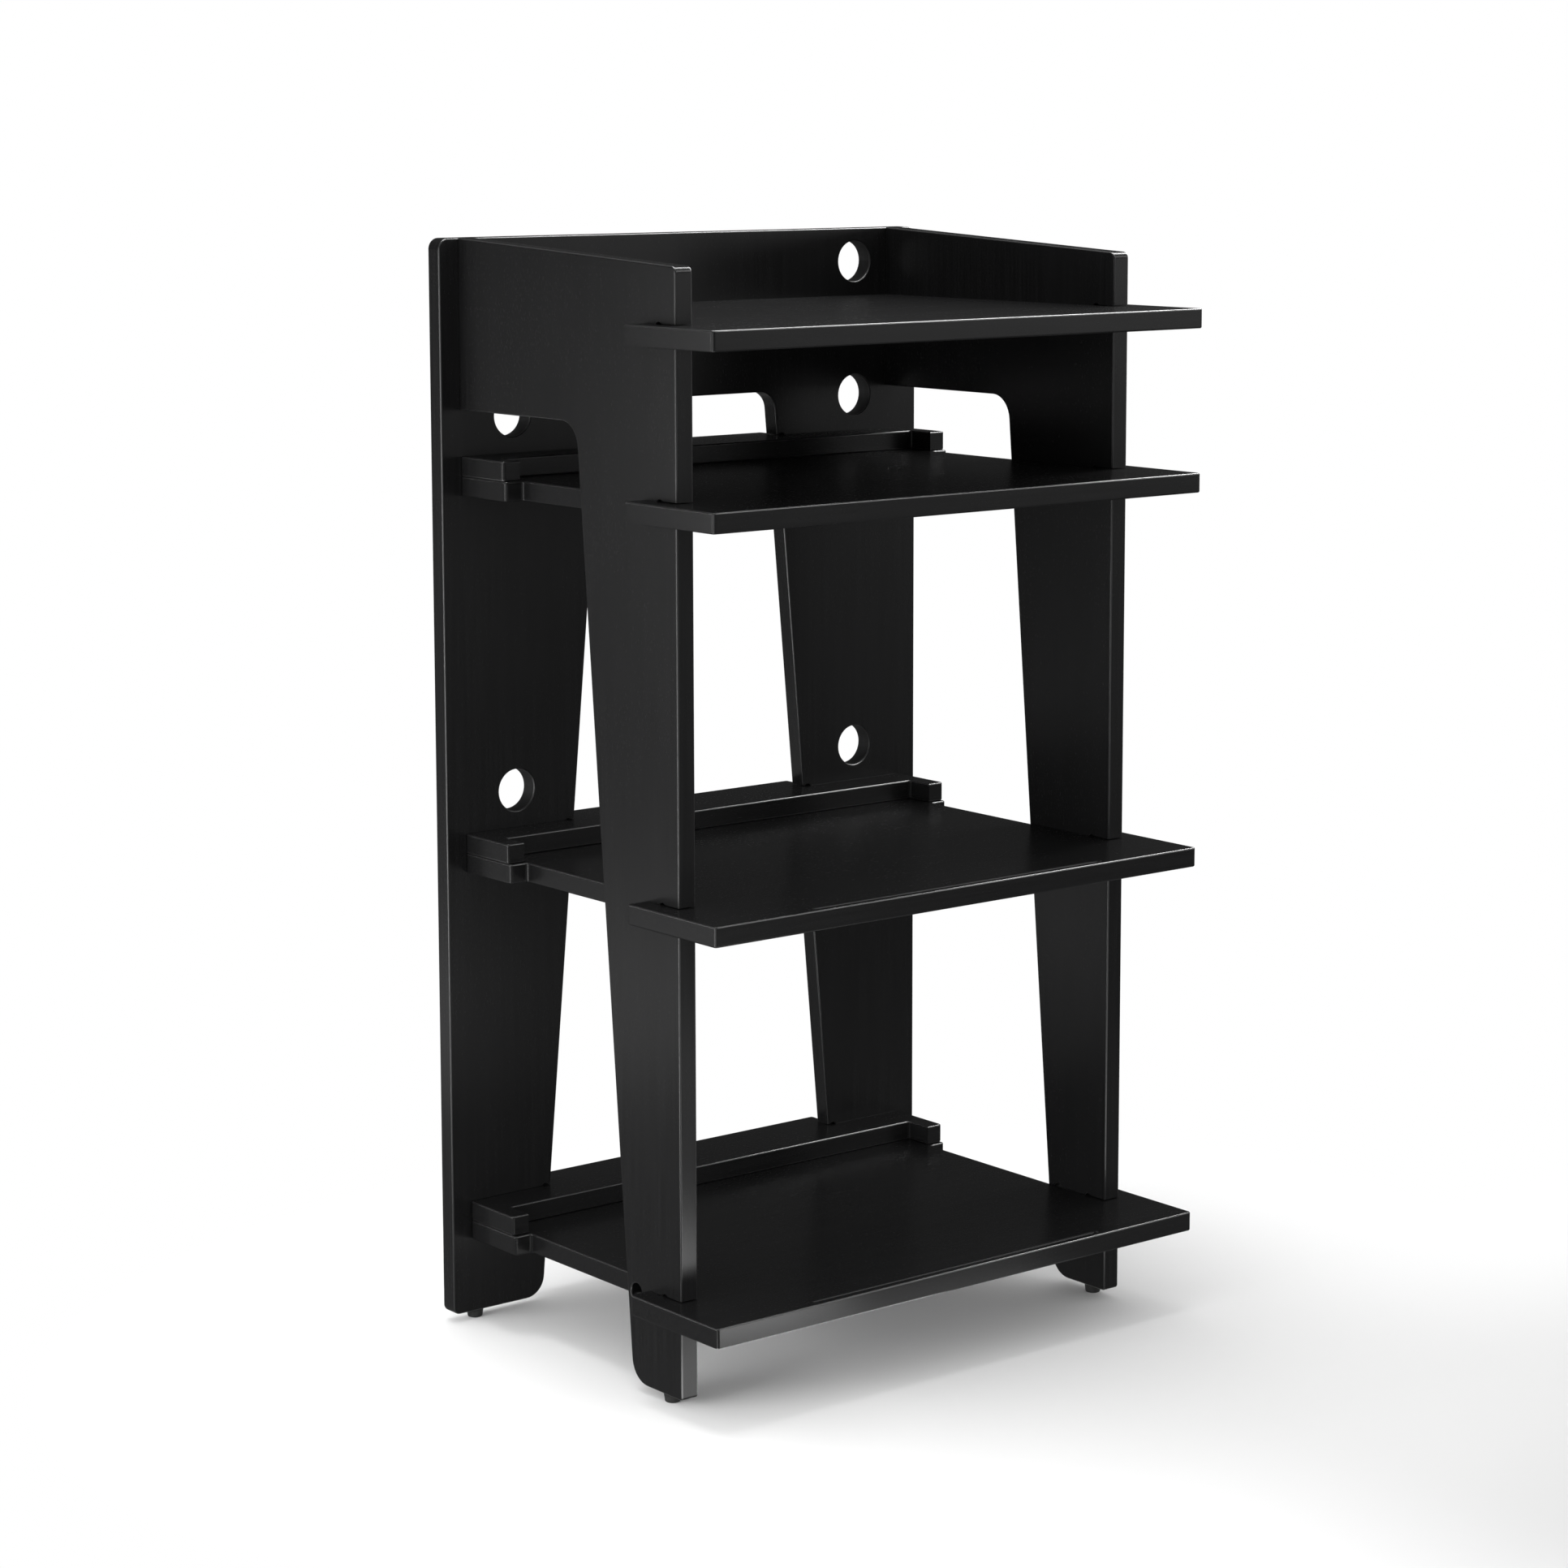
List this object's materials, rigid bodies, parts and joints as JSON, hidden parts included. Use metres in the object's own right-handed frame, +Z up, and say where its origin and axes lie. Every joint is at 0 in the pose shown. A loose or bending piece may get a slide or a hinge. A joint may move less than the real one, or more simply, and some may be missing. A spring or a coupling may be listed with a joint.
{
  "type": "record player stand",
  "caption": "Knock-down record player stand of flat black boards: an inverted-U back panel, side panels with tapered front posts, open shelves and low stop rails at the rear.",
  "frame": {"origin": "on the floor, under the centre of the whole stand's bounding box", "axes": "+X to the right seen from the front, +Y to the back, +Z up: the shelves' front edges face -Y"},
  "size_m": [0.558, 0.438, 1.002],
  "materials": {
    "black_lacquer": "black satin lacquer over wood board, edges rounded over",
    "glide_plastic": "black moulded plastic",
    "steel": "zinc-plated steel",
    "dowel_wood": "plain beech, unfinished"
  },
  "bodies": {
    "root": {"back_panel": "black_lacquer", "side_panel_left": "black_lacquer", "side_panel_right": "black_lacquer", "shelf_top": "black_lacquer", "shelf_upper": "black_lacquer", "shelf_middle": "black_lacquer", "shelf_bottom": "black_lacquer", "rail_upper": "black_lacquer", "rail_middle": "black_lacquer", "rail_bottom": "black_lacquer", "glide_back_left": "glide_plastic", "glide_back_right": "glide_plastic", "glide_front_left": "glide_plastic", "glide_front_right": "glide_plastic", "arm_screws": "steel", "top_shelf_screws": "steel", "leg_screws": "steel", "rail_screws_upper": "steel", "rail_screws_middle": "steel", "rail_screws_bottom": "steel", "glide_pins": "steel", "arm_dowels": "dowel_wood", "top_shelf_dowels": "dowel_wood", "rail_dowels_upper": "dowel_wood", "rail_dowels_middle": "dowel_wood", "rail_dowels_bottom": "dowel_wood"}
  },
  "joints": []
}
